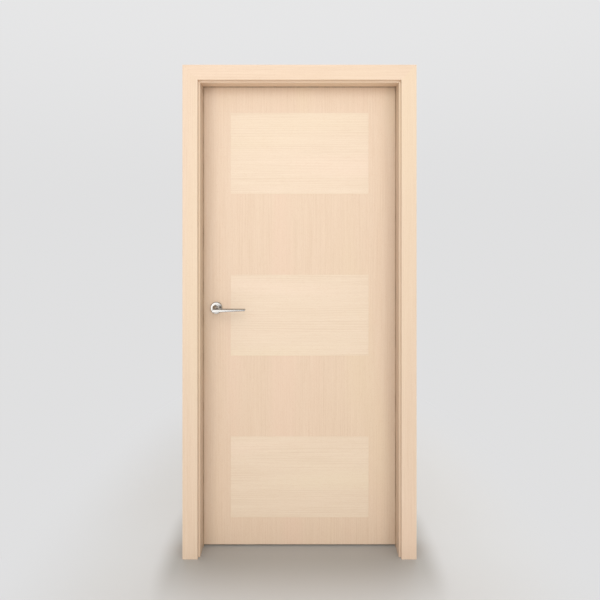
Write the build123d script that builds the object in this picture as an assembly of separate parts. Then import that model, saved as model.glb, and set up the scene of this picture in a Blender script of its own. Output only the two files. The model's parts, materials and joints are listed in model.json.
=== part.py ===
from build123d import *
import os

# An interior door in its frame, in millimetres.
# Whoever pushes the door looks along +Y at its front, with +X to the right and +Z up.
# The origin is on the floor, on the wall side of the hinge jamb, half way through its depth.

# Leaf
leaf_width = 860
leaf_height = 2030
leaf_thickness = 35
board_thickness = 4
lipping_thickness = 8
leaf_arris = 0.8
hinge_gap = 5
lock_gap = 6
top_gap = 5
floor_gap = 7

# Inlaid panels of each face: three, with bands of the same height between them
panel_count = 3
panel_side_margin = 125
panel_end_margin = 120
panel_arris = 0.3

# Jambs and head, with stops planted on them that form the rebate for the leaf
frame_depth = 100
jamb_thickness = 22
stop_thickness = 10
seal_space = 5
frame_rounding = 0.8

# Flat casings on both sides of the wall
casing_width = 65
casing_thickness = 12
casing_margin = 8
casing_rounding = 2
casing_land_width = 18
casing_relief = 1

# Rubber seal in a groove of the stop, with a lip that shows in front of the leaf
seal_width = 7
seal_lip = 3
seal_stem_distance = 3.2
seal_stem_width = 2
seal_stem_depth = 5
seal_leaf_clearance = 0.4
seal_rounding = 1.8

# Butt hinges
hinge_height = 100
hinge_plate_width = 30
hinge_plate_thickness = 3
hinge_corner_radius = 5
hinge_end_distance = 230
hinge_axis_offset = 8
knuckle_count = 5
knuckle_gap = 0.5
pin_radius = 3
pin_clearance = 0.1
pin_head_radius = 5
pin_head_height = 3
pin_head_rounding = 1.5
hinge_screw_count = 4
hinge_screw_end_distance = 12
hinge_screw_back_distance = 9
hinge_screw_stagger = 11

# Mortise latch, its faceplate and strike plate
lever_height = 1055
backset = 62
case_thickness = 14
case_height = 100
case_depth = 82
plate_thickness = 3
plate_corner_radius = 4
faceplate_width = 20
faceplate_height = 170
strike_width = 24
strike_height = 150
strike_lip_height = 40
bolt_rise = 28
bolt_width = 10
bolt_height = 18
bolt_length = 36
bolt_proud = 0.5
bolt_bevel = 4
bolt_mouth_clearance = 2.5
strike_pocket_depth = 12
plate_screw_end_distance = 11
follower_radius = 10
fit_clearance = 0.2

# Countersunk holes for the screws that hold the hinges and the two plates
screw_head_radius = 4.2
screw_hole_radius = 2.2

# Lever handles on round roses
rose_radius = 26
rose_thickness = 9
rose_rounding = 3
rose_bore_clearance = 0.3
shank_radius = 9
neck_clearance = 0.4
neck_flare_radius = 16
neck_flare_lip = 1
neck_flare_length = 12
neck_flare_bow = 2.2
neck_waist_radius = 7.5
neck_end_width = 14
neck_end_height = 8
neck_end_inset = 3
lever_outstand = 60
blade_reach = 133
blade_rise = 4
blade_heel_depth = 24
blade_heel_height = 14
blade_tip_depth = 21
blade_tip_height = 7.5
blade_rounding = 3
blade_end_rounding = 2.4
spindle_size = 8
spindle_socket_depth = 26

# Places worked out from those sizes
frame_front = -frame_depth / 2
frame_back = frame_depth / 2
leaf_back = frame_back
leaf_front = leaf_back - leaf_thickness
leaf_middle = (leaf_front + leaf_back) / 2
stop_face = leaf_front - seal_space
hinge_edge = -jamb_thickness - hinge_gap
lock_edge = hinge_edge - leaf_width
leaf_bottom = floor_gap
leaf_top = floor_gap + leaf_height
lock_rebate_face = lock_edge - lock_gap
hinge_rebate_face = -jamb_thickness
doorway_middle = (lock_rebate_face + hinge_rebate_face) / 2
reveal_half = (hinge_rebate_face - lock_rebate_face) / 2 - stop_thickness
reveal_head = leaf_top + top_gap - stop_thickness
hinge_axis_x = (hinge_rebate_face + hinge_edge) / 2
hinge_axis_y = leaf_back + hinge_axis_offset
knuckle_radius = hinge_gap / 2 + hinge_plate_thickness
lever_x = lock_edge + backset
case_middle_height = lever_height + bolt_rise / 2
bolt_z = lever_height + bolt_rise
blade_front = leaf_front - lever_outstand
blade_top = lever_height + blade_rise


def block(low, high):
    # a box between two opposite corners
    size = [high[i] - low[i] for i in range(3)]
    middle = [(high[i] + low[i]) / 2 for i in range(3)]
    return Pos(*middle) * Box(*size)


def mitred_set(profile):
    # The profile is drawn with X outward from the reveal and Y through the wall.
    # It runs up the lock side, over the head and down the hinge side, cut at 45 degrees.
    reach = profile.bounding_box().max.X
    corner = (reveal_half, 0, reveal_head)
    mitre = Plane(origin=corner, z_dir=(1, 0, -1))
    far_mitre = Plane(origin=(-reveal_half, 0, reveal_head), z_dir=(-1, 0, -1))
    post = extrude(Pos(reveal_half, 0) * profile, amount=reveal_head + reach)
    post = split(post, bisect_by=mitre, keep=Keep.TOP)
    section = Plane(origin=(0, 0, reveal_head), x_dir=(0, 0, 1), z_dir=(-1, 0, 0))
    head = extrude(section * profile, amount=reveal_half + reach, both=True)
    head = split(head, bisect_by=mitre, keep=Keep.BOTTOM)
    head = split(head, bisect_by=far_mitre, keep=Keep.BOTTOM)
    place = Pos(doorway_middle, 0, 0)
    return place * mirror(post, about=Plane.YZ), place * post, place * head


def jamb_profile():
    middle = (stop_thickness + jamb_thickness / 2, (frame_front + frame_back) / 2)
    face = Pos(*middle) * Rectangle(jamb_thickness, frame_depth)
    show_corner = face.vertices().group_by(Axis.X)[0].sort_by(Axis.Y)[-1]
    return fillet(show_corner, frame_rounding)


def stop_profile():
    # flush with the front of the jamb, with a groove for the seal in the edge that meets the leaf
    middle = (stop_thickness / 2, (frame_front + stop_face) / 2)
    face = Pos(*middle) * Rectangle(stop_thickness, stop_face - frame_front)
    face = fillet(face.vertices().group_by(Axis.X)[0], frame_rounding)
    groove_width = seal_stem_width + 2 * fit_clearance
    groove = Pos(seal_stem_distance, stop_face - seal_stem_depth / 2)
    return face - groove * Rectangle(groove_width, seal_stem_depth)


def casing_profile(inner, wall_face, outward):
    # A flat board relieved behind, so that it beds on the jamb and the wall along two lands.
    # outward is -1 on the front of the wall and +1 on its back.
    middle = (inner + casing_width / 2, wall_face + outward * casing_thickness / 2)
    face = Pos(*middle) * Rectangle(casing_width, casing_thickness)
    show_corners = face.vertices().group_by(Axis.Y)[0 if outward < 0 else -1]
    relief = Pos(inner + casing_width / 2, wall_face + outward * casing_relief / 2)
    relief *= Rectangle(casing_width - 2 * casing_land_width, casing_relief)
    return fillet(show_corners, casing_rounding) - relief


def seal_profile():
    strip_depth = seal_space - seal_leaf_clearance
    strip = Pos(seal_width / 2 - seal_lip, stop_face + strip_depth / 2)
    strip *= Rectangle(seal_width, strip_depth)
    strip = fillet(strip.vertices().group_by(Axis.Y)[-1], seal_rounding)
    stem = Pos(seal_stem_distance, stop_face - seal_stem_depth / 2)
    return strip + stem * Rectangle(seal_stem_width, seal_stem_depth)


def screw_hole(show_face, into_wood, plate, depth, height):
    # through a plate that thick, with the cone for the screw's head on its show face
    cone_depth = screw_head_radius - screw_hole_radius
    on_face = (Align.CENTER, Align.CENTER, Align.MIN)
    hole = Cylinder(screw_hole_radius, plate, align=on_face)
    hole += Cone(screw_head_radius, screw_hole_radius, cone_depth, align=on_face)
    return Plane(origin=(show_face, depth, height), z_dir=(into_wood, 0, 0)) * hole


def hinge_heights():
    low = leaf_bottom + hinge_end_distance
    high = leaf_top - hinge_end_distance
    return {"bottom": low, "middle": (low + high) / 2, "top": high}


def hinge_plate(spare=0):
    # A plate outline in depth and height, its two inner corners rounded.
    # With spare it is the pocket for that plate, open at the back.
    width = hinge_plate_width + 2 * spare
    height = hinge_height + 2 * spare
    outline = Pos(leaf_back - hinge_plate_width / 2, 0) * Rectangle(width, height)
    inner_corners = outline.vertices().group_by(Axis.X)[0]
    return fillet(inner_corners, hinge_corner_radius + spare)


def hinge_screws():
    # depth and height of each hole, in a zigzag up the plate
    reach = hinge_height / 2 - hinge_screw_end_distance
    pitch = 2 * reach / (hinge_screw_count - 1)
    line = leaf_back - hinge_screw_back_distance
    return [
        (line - hinge_screw_stagger * (place % 2), place * pitch - reach)
        for place in range(hinge_screw_count)
    ]


def hinge_half(show_face, into_wood, own_turn):
    # into_wood is +1 for the jamb half and -1 for the leaf half.
    # The two halves take turns up the pin, the jamb half with the knuckles 0, 2 and 4.
    plate_plane = Plane.YZ.offset(show_face)
    half = extrude(plate_plane * hinge_plate(), amount=into_wood * hinge_plate_thickness)
    pitch = hinge_height / knuckle_count
    arm_edge = show_face + into_wood * hinge_plate_thickness
    arm_low, arm_high = sorted((show_face, arm_edge))
    for turn in range(own_turn, knuckle_count, 2):
        bottom = -hinge_height / 2 + turn * pitch + knuckle_gap / 2
        length = pitch - knuckle_gap
        arm = block((arm_low, leaf_back, bottom), (arm_high, hinge_axis_y, bottom + length))
        knuckle = extrude(Pos(hinge_axis_x, hinge_axis_y, bottom) * Circle(knuckle_radius), length)
        half += arm + knuckle
    for depth, height in hinge_screws():
        half -= screw_hole(show_face, into_wood, hinge_plate_thickness, depth, height)
    bore = Pos(hinge_axis_x, hinge_axis_y, 0) * Cylinder(pin_radius + pin_clearance, hinge_height)
    return half - bore


def hinge_pin():
    # a plain pin with a rounded head on top and a rounded cap below
    shaft = Cylinder(pin_radius, hinge_height - knuckle_gap)
    head = extrude(Circle(pin_head_radius), amount=pin_head_height)
    head = fillet(head.edges().sort_by(Axis.Z)[-1], pin_head_rounding)
    top = Pos(0, 0, (hinge_height - knuckle_gap) / 2) * head
    return Pos(hinge_axis_x, hinge_axis_y, 0) * (shaft + top + mirror(top, about=Plane.XY))


def hinge_pocket(show_face, into_wood):
    outline = Plane.YZ.offset(show_face) * hinge_plate(fit_clearance)
    return extrude(outline, amount=into_wood * hinge_plate_thickness)


def edge_plate(width, height, show_face, into_wood, spare=0):
    # a plate let in flush, centred on the middle of the leaf and of the latch case
    outline = RectangleRounded(width + 2 * spare, height + 2 * spare, plate_corner_radius + spare)
    plane = Plane(origin=(show_face, leaf_middle, case_middle_height), x_dir=(0, 1, 0), z_dir=(1, 0, 0))
    return extrude(plane * outline, amount=into_wood * plate_thickness)


def edge_plate_screws(height, show_face, into_wood):
    # one hole near each end of such a plate
    reach = height / 2 - plate_screw_end_distance
    upper = screw_hole(show_face, into_wood, plate_thickness, leaf_middle, case_middle_height + reach)
    return upper + Pos(0, 0, -2 * reach) * upper


def strike(spare=0):
    # the lip runs back to the face of the frame, where a shot bolt would first meet it
    plate = edge_plate(strike_width, strike_height, lock_rebate_face, -1, spare)
    lip_half = strike_lip_height / 2 + spare
    low = (lock_rebate_face - plate_thickness, leaf_middle, bolt_z - lip_half)
    high = (lock_rebate_face, frame_back, bolt_z + lip_half)
    return plate + block(low, high)


def bolt_mouth(depth):
    # the opening for the bolt behind the face of the lock rebate
    half_width = bolt_width / 2 + bolt_mouth_clearance
    half_height = bolt_height / 2 + bolt_mouth_clearance
    low = (lock_rebate_face - depth, leaf_middle - half_width, bolt_z - half_height)
    high = (lock_rebate_face, leaf_middle + half_width, bolt_z + half_height)
    return block(low, high)


def latch_bolt(spare=0):
    # drawn back, with the bevel of its nose towards the stop
    half_width = bolt_width / 2 + spare
    half_height = bolt_height / 2 + spare
    nose = lock_edge - bolt_proud
    tail = nose + bolt_length
    low = (nose, leaf_middle - half_width, bolt_z - half_height)
    bolt = block(low, (tail, leaf_middle + half_width, bolt_z + half_height))
    if spare:
        return bolt
    nose_edge = bolt.edges().filter_by(Axis.Z).group_by(Axis.X)[0].sort_by(Axis.Y)[0]
    return chamfer(nose_edge, bolt_bevel)


def latch_case(spare=0):
    half_thickness = case_thickness / 2 + spare
    half_height = case_height / 2 + spare
    front = lock_edge + plate_thickness
    low = (front, leaf_middle - half_thickness, case_middle_height - half_height)
    high = (front + case_depth + spare, leaf_middle + half_thickness, case_middle_height + half_height)
    return block(low, high)


def across_leaf(outline, near, far):
    # an outline about the lever's axis, pushed along Y from near to far
    plane = Plane(origin=(lever_x, near, lever_height), x_dir=(1, 0, 0), z_dir=(0, 1, 0))
    return extrude(plane * outline, amount=far - near)


def spindle_passage():
    return across_leaf(Circle(shank_radius + rose_bore_clearance), leaf_front, leaf_back)


def leaf_blocks():
    # the core, and the four lippings round its edges, all between the two face boards
    front = leaf_front + board_thickness
    back = leaf_back - board_thickness
    left = lock_edge + lipping_thickness
    right = hinge_edge - lipping_thickness
    low = leaf_bottom + lipping_thickness
    high = leaf_top - lipping_thickness
    return {
        "leaf_core": block((left, front, low), (right, back, high)),
        "lipping_lock_edge": block((lock_edge, front, leaf_bottom), (left, back, leaf_top)),
        "lipping_hinge_edge": block((right, front, leaf_bottom), (hinge_edge, back, leaf_top)),
        "lipping_bottom_edge": block((left, front, leaf_bottom), (right, back, low)),
        "lipping_top_edge": block((left, front, high), (right, back, leaf_top)),
    }


def panel_boxes(near, far):
    # the inlaid panels of one face, from the bottom one up
    band = (leaf_height - 2 * panel_end_margin) / (2 * panel_count - 1)
    left = lock_edge + panel_side_margin
    right = hinge_edge - panel_side_margin
    boxes = []
    for step in range(panel_count):
        bottom = leaf_bottom + panel_end_margin + 2 * step * band
        boxes.append(block((left, near, bottom), (right, far, bottom + band)))
    return boxes


def face_board(near, far, show_side):
    # a veneered board with windows for the panels, its outer edge eased
    board = block((lock_edge, near, leaf_bottom), (hinge_edge, far, leaf_top))
    show_face = board.faces().sort_by(Axis.Y)[show_side]
    board = chamfer(show_face.edges(), leaf_arris)
    return board - panel_boxes(near, far)


def inlaid_panel(panel, show_side):
    return chamfer(panel.faces().sort_by(Axis.Y)[show_side].edges(), panel_arris)


def rose():
    # turned cover on the front face of the leaf, with a bore that carries the lever's shank
    bore = Circle(shank_radius + rose_bore_clearance)
    cover = across_leaf(Circle(rose_radius) - bore, leaf_front, leaf_front - rose_thickness)
    rim = cover.edges().filter_by(GeomType.CIRCLE).group_by(Axis.Y)[0].sort_by(SortBy.RADIUS)[-1]
    return fillet(rim, rose_rounding)


def blade_section(along, depth, height):
    # every section keeps its front edge on the outstand and its top edge level
    middle_y = blade_front + depth / 2
    middle_z = blade_top - height / 2
    plane = Plane(origin=(lever_x + along, middle_y, middle_z), x_dir=(0, 1, 0), z_dir=(1, 0, 0))
    return plane * RectangleRounded(depth, height, blade_rounding)


def blade():
    # tapers on its underside and its back, from the heel beside the neck to the tip
    heel = blade_section(-shank_radius, blade_heel_depth, blade_heel_height)
    bar = loft([heel, blade_section(blade_reach, blade_tip_depth, blade_tip_height)])
    for end in (-1, 0):
        face = bar.faces().filter_by(GeomType.PLANE).sort_by(Axis.X)[end]
        bar = fillet(face.edges(), blade_end_rounding)
    return bar


def neck_foot():
    # the neck turns just clear of the rose
    return leaf_front - rose_thickness - neck_clearance


def neck_flare():
    # a trumpet foot, turned about the lever's axis
    foot = neck_foot()
    lip = (neck_flare_radius, foot - neck_flare_lip)
    waist = (neck_waist_radius, foot - neck_flare_length)
    outline = Polyline((0, foot), (neck_flare_radius, foot), lip)
    outline += SagittaArc(lip, waist, -neck_flare_bow)
    outline += Polyline(waist, (0, waist[1]), (0, foot))
    turning_axis = Axis((lever_x, 0, lever_height), (0, 1, 0))
    return revolve(Pos(lever_x, 0, lever_height) * make_face(outline), axis=turning_axis)


def neck_taper():
    # from the round waist of the neck into the back of the blade's heel
    waist = neck_foot() - neck_flare_length
    end = blade_front + blade_heel_depth - neck_end_inset
    heel_middle = blade_top - blade_heel_height / 2
    facing = {"x_dir": (1, 0, 0), "z_dir": (0, 1, 0)}
    round_section = Plane(origin=(lever_x, waist, lever_height), **facing) * Circle(neck_waist_radius)
    flat_outline = RectangleRounded(neck_end_width, neck_end_height, blade_rounding)
    flat_section = Plane(origin=(lever_x, end, heel_middle), **facing) * flat_outline
    return loft([round_section, flat_section])


def lever():
    # its shank turns in the rose and holds the spindle in a square socket
    shank = across_leaf(Circle(shank_radius), neck_foot(), leaf_front)
    socket_size = spindle_size + 2 * pin_clearance
    socket_end = leaf_front - spindle_socket_depth
    socket = across_leaf(Rectangle(socket_size, socket_size), socket_end, leaf_front)
    return blade() + shank + neck_flare() + neck_taper() - socket


def spindle():
    outline = Rectangle(spindle_size, spindle_size)
    reach = spindle_socket_depth - fit_clearance
    return across_leaf(outline, leaf_front - reach, leaf_back + reach)


def follower():
    # the hub that the spindle turns inside the latch case
    hole = spindle_size + 2 * pin_clearance
    outline = Circle(follower_radius) - Rectangle(hole, hole)
    half = case_thickness / 2
    return across_leaf(outline, leaf_middle - half, leaf_middle + half)


def to_back(piece):
    # the same piece on the other face of the leaf
    return mirror(piece, about=Plane(origin=(0, leaf_middle, 0), z_dir=(0, 1, 0)))


def frame_nodes():
    nodes = {}
    members = {
        "jamb": mitred_set(jamb_profile()),
        "stop": mitred_set(stop_profile()),
        "casing_front": mitred_set(casing_profile(casing_margin, frame_front, -1)),
        "casing_back": mitred_set(casing_profile(stop_thickness + casing_margin, frame_back, 1)),
    }
    for name, (lock_side, hinge_side, head) in members.items():
        nodes[name + "_lock_side"] = lock_side
        nodes[name + "_hinge_side"] = hinge_side
        nodes[name + "_head"] = head
    lock_side, hinge_side, head = mitred_set(seal_profile())
    nodes["seal"] = lock_side + head + hinge_side
    pocket = strike(fit_clearance) + bolt_mouth(plate_thickness + strike_pocket_depth)
    nodes["jamb_lock_side"] -= pocket
    strike_holes = edge_plate_screws(strike_height, lock_rebate_face, -1)
    nodes["strike_plate"] = strike() - bolt_mouth(plate_thickness) - strike_holes
    return nodes


def leaf_nodes():
    nodes = leaf_blocks()
    case_room = latch_case(fit_clearance)
    nodes["leaf_core"] -= case_room + spindle_passage()
    faceplate_room = edge_plate(faceplate_width, faceplate_height, lock_edge, 1, fit_clearance)
    nodes["lipping_lock_edge"] -= case_room + faceplate_room
    near, far = leaf_front, leaf_front + board_thickness
    nodes["face_front"] = face_board(near, far, 0) - spindle_passage()
    panels = dict(zip(("bottom", "middle", "top"), panel_boxes(near, far)))
    for place, panel in panels.items():
        nodes["panel_front_" + place] = inlaid_panel(panel, 0)
    for name in [name for name in nodes if "front" in name]:
        nodes[name.replace("front", "back")] = to_back(nodes[name])
    bolt_room = latch_bolt(fit_clearance)
    follower_room = across_leaf(
        Circle(follower_radius + fit_clearance), leaf_front, leaf_back
    )
    nodes["latch_case"] = latch_case() - bolt_room - follower_room
    faceplate = edge_plate(faceplate_width, faceplate_height, lock_edge, 1)
    faceplate_holes = edge_plate_screws(faceplate_height, lock_edge, 1)
    nodes["latch_faceplate"] = faceplate - bolt_room - faceplate_holes
    nodes["latch_bolt"] = latch_bolt()
    nodes["rose_front"] = rose()
    nodes["rose_back"] = to_back(rose())
    return nodes


def hinge_nodes(wood):
    # cuts the pockets into the wood and returns the three hinges
    jamb_half = hinge_half(hinge_rebate_face, 1, 0)
    leaf_half = hinge_half(hinge_edge, -1, 1)
    jamb_pocket = hinge_pocket(hinge_rebate_face, 1)
    leaf_pocket = hinge_pocket(hinge_edge, -1)
    nodes = {}
    for place, height in hinge_heights().items():
        wood["jamb_hinge_side"] -= Pos(0, 0, height) * jamb_pocket
        wood["lipping_hinge_edge"] -= Pos(0, 0, height) * leaf_pocket
        wood["face_back"] -= Pos(0, 0, height) * leaf_pocket
        nodes["hinge_" + place + "_jamb_half"] = Pos(0, 0, height) * jamb_half
        nodes["hinge_" + place + "_leaf_half"] = Pos(0, 0, height) * leaf_half
        nodes["hinge_" + place + "_pin"] = Pos(0, 0, height) * hinge_pin()
    return nodes


def lever_nodes():
    front = lever()
    return {
        "lever_front": front,
        "lever_back": to_back(front),
        "spindle": spindle(),
        "follower": follower(),
    }


def build():
    nodes = {**frame_nodes(), **leaf_nodes()}
    nodes.update(hinge_nodes(nodes))
    nodes.update(lever_nodes())
    return nodes


os.makedirs("parts", exist_ok=True)
for name, solid in build().items():
    export_step(solid, os.path.join("parts", name + ".step"))
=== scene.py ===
import json
import math

import bmesh
import bpy
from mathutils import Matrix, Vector


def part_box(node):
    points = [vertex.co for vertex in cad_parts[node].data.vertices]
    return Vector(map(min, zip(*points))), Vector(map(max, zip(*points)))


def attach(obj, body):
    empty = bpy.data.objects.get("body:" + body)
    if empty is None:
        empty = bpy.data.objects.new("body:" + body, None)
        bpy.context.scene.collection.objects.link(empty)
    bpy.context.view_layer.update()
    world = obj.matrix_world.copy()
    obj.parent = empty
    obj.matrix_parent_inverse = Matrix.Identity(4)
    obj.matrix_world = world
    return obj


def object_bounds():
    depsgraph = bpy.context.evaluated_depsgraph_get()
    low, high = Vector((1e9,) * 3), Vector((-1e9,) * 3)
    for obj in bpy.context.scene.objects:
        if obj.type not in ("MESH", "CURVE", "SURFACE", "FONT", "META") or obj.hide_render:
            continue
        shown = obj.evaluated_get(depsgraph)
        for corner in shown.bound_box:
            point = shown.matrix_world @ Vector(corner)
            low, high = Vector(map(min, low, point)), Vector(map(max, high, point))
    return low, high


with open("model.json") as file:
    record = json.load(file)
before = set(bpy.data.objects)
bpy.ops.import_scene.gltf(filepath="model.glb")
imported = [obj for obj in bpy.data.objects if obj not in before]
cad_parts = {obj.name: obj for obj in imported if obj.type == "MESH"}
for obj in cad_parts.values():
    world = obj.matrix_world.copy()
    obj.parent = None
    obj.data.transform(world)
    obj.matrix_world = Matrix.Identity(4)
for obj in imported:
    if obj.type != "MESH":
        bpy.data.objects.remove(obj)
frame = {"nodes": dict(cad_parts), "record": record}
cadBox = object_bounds()
print("frame loaded:", len(frame["nodes"]), "pieces")


class Wire:
    # one output of a shader node, so that shader maths reads as a plain expression
    def __init__(self, shader, socket):
        self.shader = shader
        self.socket = socket

    def maths(self, operation, first, second=0.0):
        return self.shader.node("ShaderNodeMath", {"operation": operation}, {0: first, 1: second})

    def __add__(self, other):
        return self.maths("ADD", self, other)

    def __sub__(self, other):
        return self.maths("SUBTRACT", self, other)

    def __rsub__(self, other):
        return self.maths("SUBTRACT", other, self)

    def __mul__(self, other):
        return self.maths("MULTIPLY", self, other)

    def __pow__(self, other):
        return self.maths("POWER", self, other)

    def __abs__(self):
        return self.maths("ABSOLUTE", self)

    __radd__ = __add__
    __rmul__ = __mul__

    def wave(self, turns):
        # a sine between 0 and 1, which goes round so many times while the value goes from 0 to 1
        return self.maths("SINE", self * (2 * math.pi * turns)) * 0.5 + 0.5

    def above(self, start, end):
        # 0 below start and 1 above end, with a soft ramp between
        sockets = {0: self, 1: start, 2: end, 3: 0.0, 4: 1.0}
        return self.shader.node("ShaderNodeMapRange", {"interpolation_type": "SMOOTHSTEP"}, sockets)


class Shader:
    # a node tree, and the one way in which its nodes are made
    def __init__(self, owner):
        owner.use_nodes = True
        self.owner = owner
        self.tree = owner.node_tree
        self.tree.nodes.clear()

    def node(self, kind, settings=None, sockets=None, output=0):
        made = self.tree.nodes.new(kind)
        for key, value in (settings or {}).items():
            setattr(made, key, value)
        for key, value in (sockets or {}).items():
            if isinstance(value, Wire):
                self.tree.links.new(value.socket, made.inputs[key])
            else:
                made.inputs[key].default_value = value
        return Wire(self, made.outputs[output]) if made.outputs else None

    def tint(self, first, second, share, how="MIX"):
        # the colour sockets of Mix are 6 and 7, and its colour output is 2
        settings = {"data_type": "RGBA", "blend_type": how}
        return self.node("ShaderNodeMix", settings, {0: share, 6: first, 7: second}, 2)

    def vectors(self, operation, first, second=(0, 0, 0), output=0):
        return self.node("ShaderNodeVectorMath", {"operation": operation}, {0: first, 1: second}, output)

    def place(self):
        # where a point is on the object, in metres
        return self.node("ShaderNodeTexCoord", output="Object")

    def part(self, vector, axis):
        return self.node("ShaderNodeSeparateXYZ", None, {0: vector}, axis)

    def noise(self, point, perMetre, detail=2.0, rough=0.5):
        # perMetre is how finely it changes along X, Y and Z
        scaled = self.vectors("MULTIPLY", point, perMetre)
        sockets = {"Vector": scaled, "Scale": 1.0, "Detail": detail, "Roughness": rough}
        return self.node("ShaderNodeTexNoise", None, sockets)

    def bump(self, height, depth, strength):
        # depth is in metres
        sockets = {"Strength": strength, "Distance": depth, "Height": height}
        return self.node("ShaderNodeBump", None, sockets)

    def surface(self, sockets):
        face = self.node("ShaderNodeBsdfPrincipled", None, sockets)
        self.node("ShaderNodeOutputMaterial", None, {"Surface": face})
        return self.owner


def newShader(name):
    return Shader(bpy.data.materials.new(name))


# Veneer
plainVeneer = {
    "grainAxis": 2,                          # the grain runs up
    "pale": (0.900, 0.708, 0.538, 1.0),
    "deep": (0.770, 0.565, 0.392, 1.0),
    "pink": (0.880, 0.650, 0.490, 1.0),
    "straw": (0.865, 0.690, 0.475, 1.0),
    "pinkShare": 0.5,
    "strawShare": 0.4,
    "middle": 0.56,                          # how pale it is where no layer shows
    "lines": 0.20,                           # how much each layer pales or deepens it
    "streaks": 0.80,
    "fibres": 0.16,
    "pores": 0.30,
    "linesPerMetre": 95,
    "lineSharpness": 3,
    "wander": 0.05,                          # metres by which the lines stray sideways
    "rough": 0.42,
    "deepRough": 0.10,                       # how much duller it is in its deep grain and in its pores
    "poreRough": 0.12,
    "grainRise": 0.6,                        # height of the grain against the depth of the pores
    "reliefDepth": 0.0001,
    "relief": 0.35,
    "paintedShadeOn": None,                          # the piece on which painted shade deepens its tone towards the reveal
}
levelVeneer = {**plainVeneer, "grainAxis": 0}
inlayVeneer = {
    **levelVeneer,
    "pale": (0.948, 0.785, 0.612, 1.0),
    "deep": (0.800, 0.610, 0.435, 1.0),
    "pink": (0.930, 0.730, 0.570, 1.0),
    "straw": (0.900, 0.750, 0.540, 1.0),
    "lines": 0.30,
    "streaks": 0.64,
}
woodLayers = {
    # changes per metre across and along the grain, then the detail and the roughness of the noise
    "drift": (5.0, 0.7, 1.0, 0.5),
    "stray": (14, 0.5, 1.0, 0.5),
    "fading": (30, 2.4, 1.0, 0.5),
    "streaks": (170, 4.5, 3.0, 0.65),
    "fibres": (800, 22, 2.0, 0.6),
    "pores": (1900, 130, 1.0, 0.5),
}
woodRamps = {
    # the values over which a layer comes in
    "tint": (0.52, 0.72),
    "fading": (0.35, 0.65),
    "fibres": (0.36, 0.64),
    "pores": (0.61, 0.68),
}
# painted shade: a darker tone multiplied into the veneer on the side stops, the side casings' inner edges
# and the leaf front's upright edges, where shade falls
paintedShadeTone = {
    "tone": (0.71, 0.705, 0.71, 1.0),
    "stopSide": (0.0003, 0.0020),            # metres behind the stop's front edge over which it comes in
    "stopFront": 0.15,                       # its share on that front edge
    "casingEdge": (0.0001, 0.0010),          # metres outside the casing's inner edge over which it ends
    "leafRim": (0.078, 0.022),               # metres inside the leaf's upright edges over which it comes in
    "leafShare": 0.40,
}


def besideMiddle(shader, place, left, right):
    # how far a point is to the side of the middle between two places, and half their distance
    return abs(shader.part(place, "X") - (left + right) / 2), (right - left) / 2


def paintedShadeShare(shader, place, piece):
    # the share of painted shade on a side stop behind its front edge, on a side casing's inner edge or
    # along the leaf front's upright edges
    if piece == "stop":
        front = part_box("stop_lock_side")[0].y
        start, end = paintedShadeTone["stopSide"]
        within = shader.part(place, "Y").above(front + start, front + end)
        return within * (1 - paintedShadeTone["stopFront"]) + paintedShadeTone["stopFront"]
    if piece == "casing":
        left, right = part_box("casing_front_lock_side")[1].x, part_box("casing_front_hinge_side")[0].x
        aside, edge = besideMiddle(shader, place, left, right)
        start, end = paintedShadeTone["casingEdge"]
        return 1 - aside.above(edge + start, edge + end)
    left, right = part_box("face_front")[0].x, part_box("face_front")[1].x
    aside, edge = besideMiddle(shader, place, left, right)
    start, end = paintedShadeTone["leafRim"]
    return aside.above(edge - start, edge - end) * paintedShadeTone["leafShare"]


def veneer(name, look):
    # straight growth lines, streaks, fibres and open pores, drawn out along the grain, under matt lacquer
    shader = newShader(name)
    place = shader.place()

    def layer(of):
        across, along, detail, rough = woodLayers[of]
        perMetre = [across] * 3
        perMetre[look["grainAxis"]] = along
        drawn = shader.noise(place, perMetre, detail, rough)
        return drawn.above(*woodRamps[of]) if of in woodRamps else drawn

    # on each face one of the two ways across the grain doesn't change, so their sum counts the lines on all
    across = shader.part(place, "X" if look["grainAxis"] == 2 else "Z") + shader.part(place, "Y")
    strayed = across + (layer("stray") - 0.5) * look["wander"]
    lines = strayed.wave(look["linesPerMetre"]) ** look["lineSharpness"]
    streaks, fibres, pores = layer("streaks"), layer("fibres"), layer("pores")
    grain = look["middle"] - lines * layer("fading") * look["lines"]
    grain = grain + (streaks - 0.5) * look["streaks"] + (fibres - 0.5) * look["fibres"]
    drift = layer("drift")
    pinkShare = drift.above(*woodRamps["tint"]) * look["pinkShare"]
    strawShare = (1 - drift).above(*woodRamps["tint"]) * look["strawShare"]
    colour = shader.tint(look["deep"], look["pale"], grain)
    colour = shader.tint(colour, look["pink"], pinkShare)
    colour = shader.tint(colour, look["straw"], strawShare)
    colour = shader.tint(colour, look["deep"], pores * look["pores"], "MULTIPLY")
    # painted shade towards the reveal and the leaf's edges, on the pieces that ask for it
    if look["paintedShadeOn"]:
        share = paintedShadeShare(shader, place, look["paintedShadeOn"])
        colour = shader.tint(colour, paintedShadeTone["tone"], share, "MULTIPLY")
    height = grain * look["grainRise"] - pores
    return shader.surface({
        "Base Color": colour,
        "Roughness": look["rough"] + (1 - grain) * look["deepRough"] + pores * look["poreRough"],
        "Normal": shader.bump(height, look["reliefDepth"], look["relief"]),
    })


# Core board
coreBoard = {
    "pale": (0.62, 0.47, 0.32, 1.0),
    "deep": (0.40, 0.28, 0.17, 1.0),
    "chip": (420, 420, 120),
    "chipNoise": (3.0, 0.6),                 # its detail and its roughness
    "chipRamp": (0.35, 0.65),
    "rough": 0.75,
    "paleRough": 0.2,
    "reliefDepth": 0.0004,
    "relief": 0.6,
}


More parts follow.
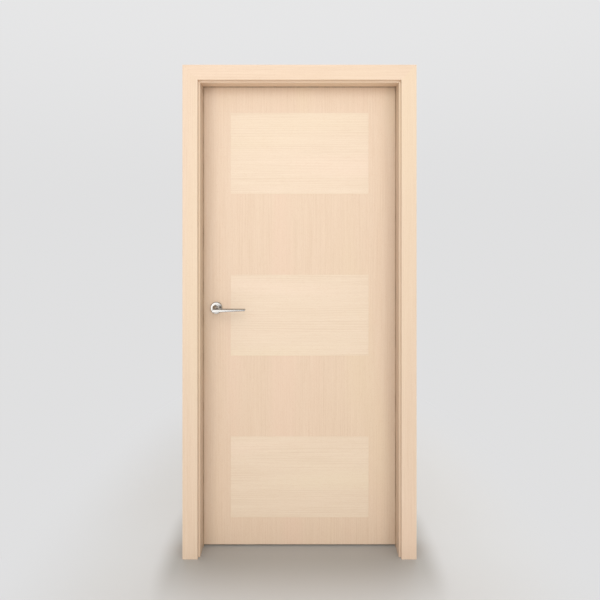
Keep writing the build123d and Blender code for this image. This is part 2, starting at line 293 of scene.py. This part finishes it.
def chipboard(name, look):
    # pressed chips, seen only at the edges of the lock's pockets
    shader = newShader(name)
    chips = shader.noise(shader.place(), look["chip"], *look["chipNoise"])
    return shader.surface({
        "Base Color": shader.tint(look["deep"], look["pale"], chips.above(*look["chipRamp"])),
        "Roughness": look["rough"] + chips * look["paleRough"],
        "Normal": shader.bump(chips, look["reliefDepth"], look["relief"]),
    })


# Metals
satinNickel = {
    "pale": (0.62, 0.605, 0.58, 1.0),
    "deep": (0.53, 0.515, 0.49, 1.0),
    "brush": (60, 2600, 2600),
    "rough": 0.17,
    "relief": 0.05,
    "edge": (0.50, 0.49, 0.48, 1.0),         # how far it keeps its shine where it is seen nearly edge on
}
brushedSteel = {
    "pale": (0.62, 0.62, 0.61, 1.0),
    "deep": (0.49, 0.49, 0.48, 1.0),
    "brush": (2200, 2200, 40),
    "rough": 0.26,
    "relief": 0.06,
    "edge": (0.8, 0.8, 0.8, 1.0),
}
zincSteel = {
    "pale": (0.62, 0.62, 0.60, 1.0),
    "deep": (0.44, 0.45, 0.45, 1.0),
    "brush": (300, 300, 300),
    "rough": 0.34,
    "relief": 0.10,
    "edge": (0.8, 0.8, 0.8, 1.0),
}
metalWear = {
    "marksNoise": (2.0, 0.6),                # its detail and its roughness
    "marksInColour": 0.8,
    "marksInRough": 0.10,
    "marksDepth": 0.00003,
    "cloud": (45, 45, 45),                   # the faint cloud that handling leaves
    "cloudRamp": (0.45, 0.70),
    "cloudInColour": 0.2,
    "cloudInRough": 0.03,
}


def metal(name, look):
    # fine brush marks, and a cloud over them
    shader = newShader(name)
    place = shader.place()
    marks = shader.noise(place, look["brush"], *metalWear["marksNoise"])
    cloud = shader.noise(place, metalWear["cloud"])
    paleShare = marks * metalWear["marksInColour"] + cloud * metalWear["cloudInColour"]
    handled = cloud.above(*metalWear["cloudRamp"]) * metalWear["cloudInRough"]
    return shader.surface({
        "Base Color": shader.tint(look["deep"], look["pale"], paleShare),
        "Metallic": 1.0,
        "Specular Tint": look["edge"],
        "Roughness": look["rough"] + (marks - 0.5) * metalWear["marksInRough"] + handled,
        "Normal": shader.bump(marks, metalWear["marksDepth"], look["relief"]),
    })


# Seal
sealRubber = {
    "pale": (0.52, 0.37, 0.245, 1.0),
    "deep": (0.37, 0.255, 0.16, 1.0),
    "bloom": (60, 60, 12),                   # the pale film on the rubber
    "bloomDetail": 3.0,
    "bloomRamp": (0.3, 0.7),
    "skin": (1800, 1800, 900),
    "rough": 0.62,
    "skinRough": 0.2,
    "reliefDepth": 0.00005,
    "relief": 0.4,
}


def rubber(name, look):
    shader = newShader(name)
    bloom = shader.noise(shader.place(), look["bloom"], look["bloomDetail"])
    skin = shader.noise(shader.place(), look["skin"])
    return shader.surface({
        "Base Color": shader.tint(look["deep"], look["pale"], bloom.above(*look["bloomRamp"])),
        "Roughness": look["rough"] + skin * look["skinRough"],
        "Normal": shader.bump(skin, look["reliefDepth"], look["relief"]),
    })


finishes = {
    "pale_wood_upright": veneer("uprightVeneer", plainVeneer),
    "pale_wood_level": veneer("levelVeneer", levelVeneer),
    "core_board": chipboard("coreBoard", coreBoard),
    "satin_nickel": metal("satinNickel", satinNickel),
    "brushed_steel": metal("brushedSteel", brushedSteel),
    "plain_steel": metal("zincSteel", zincSteel),
    "seal_rubber": rubber("sealRubber", sealRubber),
}
panelFinish = veneer("inlayVeneer", inlayVeneer)
# painted shade: the side stops, the side casings and the leaf's front get the plain veneer darkened where
# shade falls
sideStopPaintedShadeFinish = veneer("sideStopPaintedShadeVeneer", {**plainVeneer, "paintedShadeOn": "stop"})
sideCasingPaintedShadeFinish = veneer("sideCasingPaintedShadeVeneer", {**plainVeneer, "paintedShadeOn": "casing"})
leafFrontPaintedShadeFinish = veneer("leafFrontPaintedShadeVeneer", {**plainVeneer, "paintedShadeOn": "leaf"})
print("finishes made:", len(bpy.data.materials))


def finishOf(node, slot):
    # the panels, the leaf's front, the side stops and the side casings have a veneer of their own; on the
    # last three it carries painted shade
    if node.startswith("panel"):
        return panelFinish
    if node == "face_front":
        return leafFrontPaintedShadeFinish
    if slot == "pale_wood_upright" and node.startswith("stop"):
        return sideStopPaintedShadeFinish
    if slot == "pale_wood_upright" and node.startswith("casing"):
        return sideCasingPaintedShadeFinish
    return finishes[slot]


def dressPieces():
    for part in frame["record"]["subparts"]:
        mesh = frame["nodes"][part["node"]].data
        mesh.materials.clear()
        mesh.materials.append(finishOf(part["node"], part["material_slot"]))


dressPieces()

# Screws, countersunk in the hinges, the latch's faceplate and the strike plate, in metres
screw = {
    "headRadius": 0.0040,
    "shaftRadius": 0.0021,
    "headDepth": 0.0020,
    "sunk": 0.00012,                         # how far the head lies below the face of the plate
    "rimRounding": 0.00015,
    "crossReach": 0.0022,                    # half the length of the cross
    "crossHalfWidth": 0.00055,
    "crossDepth": 0.0012,
    "crossTaper": 0.6,                       # size of its bottom against its mouth
    "regularSteps": 24,
    "angleDigits": 6,
    "firstTurn": 0.35,                       # how far the cross of a plate's first screw is turned
    "nextTurn": 1.1,                         # and each one after it further
}
hingeScrews = {"count": 4, "endDistance": 0.012, "backDistance": 0.009, "stagger": 0.011}
plateScrewEnd = 0.011                        # from the end of the faceplate or strike plate to its screw
quarterTurn = math.pi / 2


def crossAngles():
    # regular steps round the head, and the corners of the cross
    tip = math.atan2(screw["crossHalfWidth"], screw["crossReach"])
    step = 4 * quarterTurn / screw["regularSteps"]
    angles = [number * step for number in range(screw["regularSteps"])]
    for arm in range(4):
        angles += [(arm * quarterTurn + turn) % (4 * quarterTurn) for turn in (tip, -tip, quarterTurn / 2)]
    return sorted({round(angle, screw["angleDigits"]) for angle in angles})


def crossRadius(angle):
    # the outline of the cross, measured from its middle
    fromArm = angle % quarterTurn
    fromArm = min(fromArm, quarterTurn - fromArm)
    tipSlope = screw["crossHalfWidth"] / screw["crossReach"] + 10 ** -screw["angleDigits"]
    if math.tan(fromArm) <= tipSlope:
        return screw["crossReach"] / math.cos(fromArm)
    return screw["crossHalfWidth"] / math.sin(fromArm)


def addScrew(shape, spot, intoWood, twist):
    # rings from the tip of the cone, over the rim and the flat head, down into the cross
    angles = crossAngles()
    rim = screw["headRadius"] - screw["rimRounding"]
    crossBottom = screw["sunk"] + screw["crossDepth"]
    rings = [
        (lambda angle: screw["shaftRadius"], screw["headDepth"]),
        (lambda angle: screw["headRadius"], screw["sunk"] + screw["rimRounding"]),
        (lambda angle: rim, screw["sunk"]),
        (crossRadius, screw["sunk"]),
        (lambda angle: crossRadius(angle) * screw["crossTaper"], crossBottom),
    ]
    loops = []
    for radius, depth in rings:
        loops.append([
            shape.verts.new((
                spot[0] + intoWood * depth,
                spot[1] + radius(angle) * math.cos(angle + twist),
                spot[2] + radius(angle) * math.sin(angle + twist),
            ))
            for angle in angles
        ])
    nextOne = list(range(1, len(angles))) + [0]
    for outer, inner in zip(loops, loops[1:]):
        for i, j in enumerate(nextOne):
            shape.faces.new((outer[i], outer[j], inner[j], inner[i]))
    shape.faces.new(loops[0])
    bottom = shape.verts.new((spot[0] + intoWood * crossBottom, spot[1], spot[2]))
    for i, j in enumerate(nextOne):
        shape.faces.new((loops[-1][i], loops[-1][j], bottom))


def addScrews(name, body, showFace, intoWood, spots):
    # one piece for all the screws of a plate, and how many they are
    shape = bmesh.new()
    for number, (depth, height) in enumerate(spots):
        twist = screw["firstTurn"] + screw["nextTurn"] * number
        addScrew(shape, (showFace, depth, height), intoWood, twist)
    bmesh.ops.recalc_face_normals(shape, faces=shape.faces)
    mesh = bpy.data.meshes.new(name)
    shape.to_mesh(mesh)
    shape.free()
    mesh.materials.append(finishes["brushed_steel"])
    piece = bpy.data.objects.new(name, mesh)
    bpy.context.scene.collection.objects.link(piece)
    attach(piece, body)
    return len(spots)


def hingeSpots(low, high, back):
    # depth and height of each screw of a hinge half, in a zigzag
    reach = (high - low) / 2 - hingeScrews["endDistance"]
    pitch = 2 * reach / (hingeScrews["count"] - 1)
    middle = (low + high) / 2
    line = back - hingeScrews["backDistance"]
    return [
        (line - hingeScrews["stagger"] * (number % 2), middle - reach + number * pitch)
        for number in range(hingeScrews["count"])
    ]


# side picks the end of a piece's box along X at which its face shows
def screwHinges():
    driven = 0
    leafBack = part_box("face_back")[1].y
    for hinge in ("bottom", "middle", "top"):
        for half, body, wood, side, intoWood in (
            ("jamb", "frame", "jamb_hinge_side", 0, 1),
            ("leaf", "leaf", "lipping_hinge_edge", 1, -1),
        ):
            low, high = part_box(f"hinge_{hinge}_{half}_half")
            spots = hingeSpots(low.z, high.z, leafBack)
            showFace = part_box(wood)[side].x
            driven += addScrews(f"screws_hinge_{hinge}_{half}", body, showFace, intoWood, spots)
    return driven


def screwPlates():
    driven = 0
    low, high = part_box("latch_faceplate")
    middle = (low.y + high.y) / 2
    for plate, body, side, intoWood in (
        ("latch_faceplate", "leaf", 0, 1),
        ("strike_plate", "frame", 1, -1),
    ):
        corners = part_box(plate)
        spots = [(middle, corners[0].z + plateScrewEnd), (middle, corners[1].z - plateScrewEnd)]
        driven += addScrews("screws_" + plate, body, corners[side].x, intoWood, spots)
    return driven


print("screws driven:", screwHinges() + screwPlates())

# Background
background = {
    "wallTone": (0.745, 0.745, 0.75, 1.0),   # at eye level
    "highTone": (0.795, 0.795, 0.80, 1.0),
    "ceilingTone": (0.10, 0.10, 0.11, 1.0),
    "highRise": (0.0, 0.45),                 # how steeply up it is where each tone turns into the next
    "ceilingRise": (0.55, 0.80),
    "skyTone": (1.0, 1.0, 1.0, 1.0),
    "skyLevel": 1.125,                       # light that comes evenly from all round
}


def makeWorld():
    world = bpy.data.worlds.new("studioWorld")
    bpy.context.scene.world = world
    shader = Shader(world)
    rise = shader.part(shader.node("ShaderNodeTexCoord", output="Generated"), "Z")
    tone = shader.tint(background["wallTone"], background["highTone"], rise.above(*background["highRise"]))
    tone = shader.tint(tone, background["ceilingTone"], rise.above(*background["ceilingRise"]))
    seen = shader.node("ShaderNodeLightPath", output="Is Camera Ray")
    for ray in ("Is Glossy Ray", "Is Transmission Ray"):
        seen = seen + shader.node("ShaderNodeLightPath", output=ray)
    skySockets = {"Color": background["skyTone"], "Strength": background["skyLevel"]}
    sky = shader.node("ShaderNodeBackground", None, skySockets)
    backdrop = shader.node("ShaderNodeBackground", None, {"Color": tone, "Strength": 1.0})
    light = shader.node("ShaderNodeMixShader", None, {0: seen, 1: sky, 2: backdrop})
    shader.node("ShaderNodeOutputWorld", None, {"Surface": light})


# Floor
doorMiddle = (cadBox[0] + cadBox[1]) / 2
doorHalf = (cadBox[1] - cadBox[0]) / 2
studioFloor = {
    # painted shade: the floor is darker near the door, where its shade falls, and paler further off
    "near": (0.385, 0.37, 0.345, 1.0),
    "far": (0.585, 0.58, 0.57, 1.0),
    "paintedShadeReach": (-0.02, 0.28),                  # metres from the door over which its painted shade gives way to the paler tone
    "sideways": 2.5,                         # how much faster it does so beside the door
    "fade": (0.5, 1.9),                      # metres from the door over which the floor melts away
    "radius": 9.0,
    "segments": 96,
    "cloud": (3, 3, 3),
    "cloudDetail": 3.0,
    "cloudShare": 0.1,
    "rough": 0.55,
}


def floorFinish():
    shader = newShader("studioFloor")
    place = shader.place()
    # how far a point is outside the door's own outline
    past = shader.vectors("SUBTRACT", shader.vectors("ABSOLUTE", place), (doorHalf.x, doorHalf.y, 0))
    past = shader.vectors("MAXIMUM", past, (0, 0, 0))
    past = shader.vectors("MULTIPLY", past, (studioFloor["sideways"], 1, 1))
    away = shader.vectors("LENGTH", past, output="Value")
    cloud = shader.noise(place, studioFloor["cloud"], studioFloor["cloudDetail"])
    # painted shade near the door, fading to the paler tone further off
    unshadedShare = away.above(*studioFloor["paintedShadeReach"]) + (cloud - 0.5) * studioFloor["cloudShare"]
    colour = shader.tint(studioFloor["near"], studioFloor["far"], unshadedShare)
    nearSockets = {"Base Color": colour, "Roughness": studioFloor["rough"]}
    near = shader.node("ShaderNodeBsdfPrincipled", None, nearSockets)
    far = shader.node("ShaderNodeEmission", None, {"Color": background["wallTone"], "Strength": 1.0})
    fade = away.above(*studioFloor["fade"])
    surface = shader.node("ShaderNodeMixShader", None, {0: fade, 1: near, 2: far})
    shader.node("ShaderNodeOutputMaterial", None, {"Surface": surface})
    return shader.owner


def makeFloor():
    # a pale disc that melts into the background, so that no edge of it shows
    shape = bmesh.new()
    segments, radius = studioFloor["segments"], studioFloor["radius"]
    bmesh.ops.create_circle(shape, cap_ends=True, segments=segments, radius=radius)
    mesh = bpy.data.meshes.new("studioFloor")
    shape.to_mesh(mesh)
    shape.free()
    mesh.materials.append(floorFinish())
    floor = bpy.data.objects.new("studioFloor", mesh)
    bpy.context.scene.collection.objects.link(floor)
    floor.location = (doorMiddle.x, doorMiddle.y, 0)


# Lamps, each with a twin behind the door, placed in metres from the middle of its foot
lamps = {
    # the key lights the whole door, and the cards show only in what shines
    "key": {"power": 9.0, "place": (0.0, -2.0, 2.9), "size": (1.6, 1.2), "lights": True},
    "card": {"power": 20.0, "place": (-1.75, -2.5, 1.2), "size": (2.4, 2.2), "lights": False},
    "sideCard": {"power": 5.0, "place": (-2.6, -0.8, 1.3), "size": (1.6, 1.6), "lights": False},
}
aimHeight = 1.1


def makeLamp(name, look, turn):
    # turn is 1 in front of the door and -1 for the twin, half a turn round it
    lamp = bpy.data.lights.new(name, "AREA")
    lamp.shape = "RECTANGLE"
    lamp.size, lamp.size_y = look["size"]
    lamp.energy = look["power"]
    holder = bpy.data.objects.new(name, lamp)
    bpy.context.scene.collection.objects.link(holder)
    across, depth, height = look["place"]
    holder.location = (doorMiddle.x + turn * across, turn * depth, height)
    aim = Vector((doorMiddle.x, 0, aimHeight)) - holder.location
    holder.rotation_euler = aim.to_track_quat("-Z", "Y").to_euler()
    holder.visible_diffuse = look["lights"]
    holder.visible_camera = False


makeWorld()
makeFloor()
for turn, word in ((1, "Front"), (-1, "Back")):
    for name, look in lamps.items():
        makeLamp(name + word, look, turn)
print("studio set")

# Camera, level and square to the door, with the shift that the photograph's framing needs
view = {"lens": 26.8, "sensor": 36.0, "distance": 1.9, "height": 1.466, "shiftX": 0.0008, "shiftY": -0.142}


def makeCamera():
    camera = bpy.data.cameras.new("camera")
    camera.lens = view["lens"]
    camera.sensor_width = view["sensor"]
    camera.shift_x, camera.shift_y = view["shiftX"], view["shiftY"]
    holder = bpy.data.objects.new("camera", camera)
    bpy.context.scene.collection.objects.link(holder)
    holder.location = (doorMiddle.x, cadBox[0].y - view["distance"], view["height"])
    holder.rotation_euler = (math.pi / 2, 0, 0)
    bpy.context.scene.camera = holder


makeCamera()
bpy.context.scene.view_settings.view_transform = "Standard"
print("camera placed")
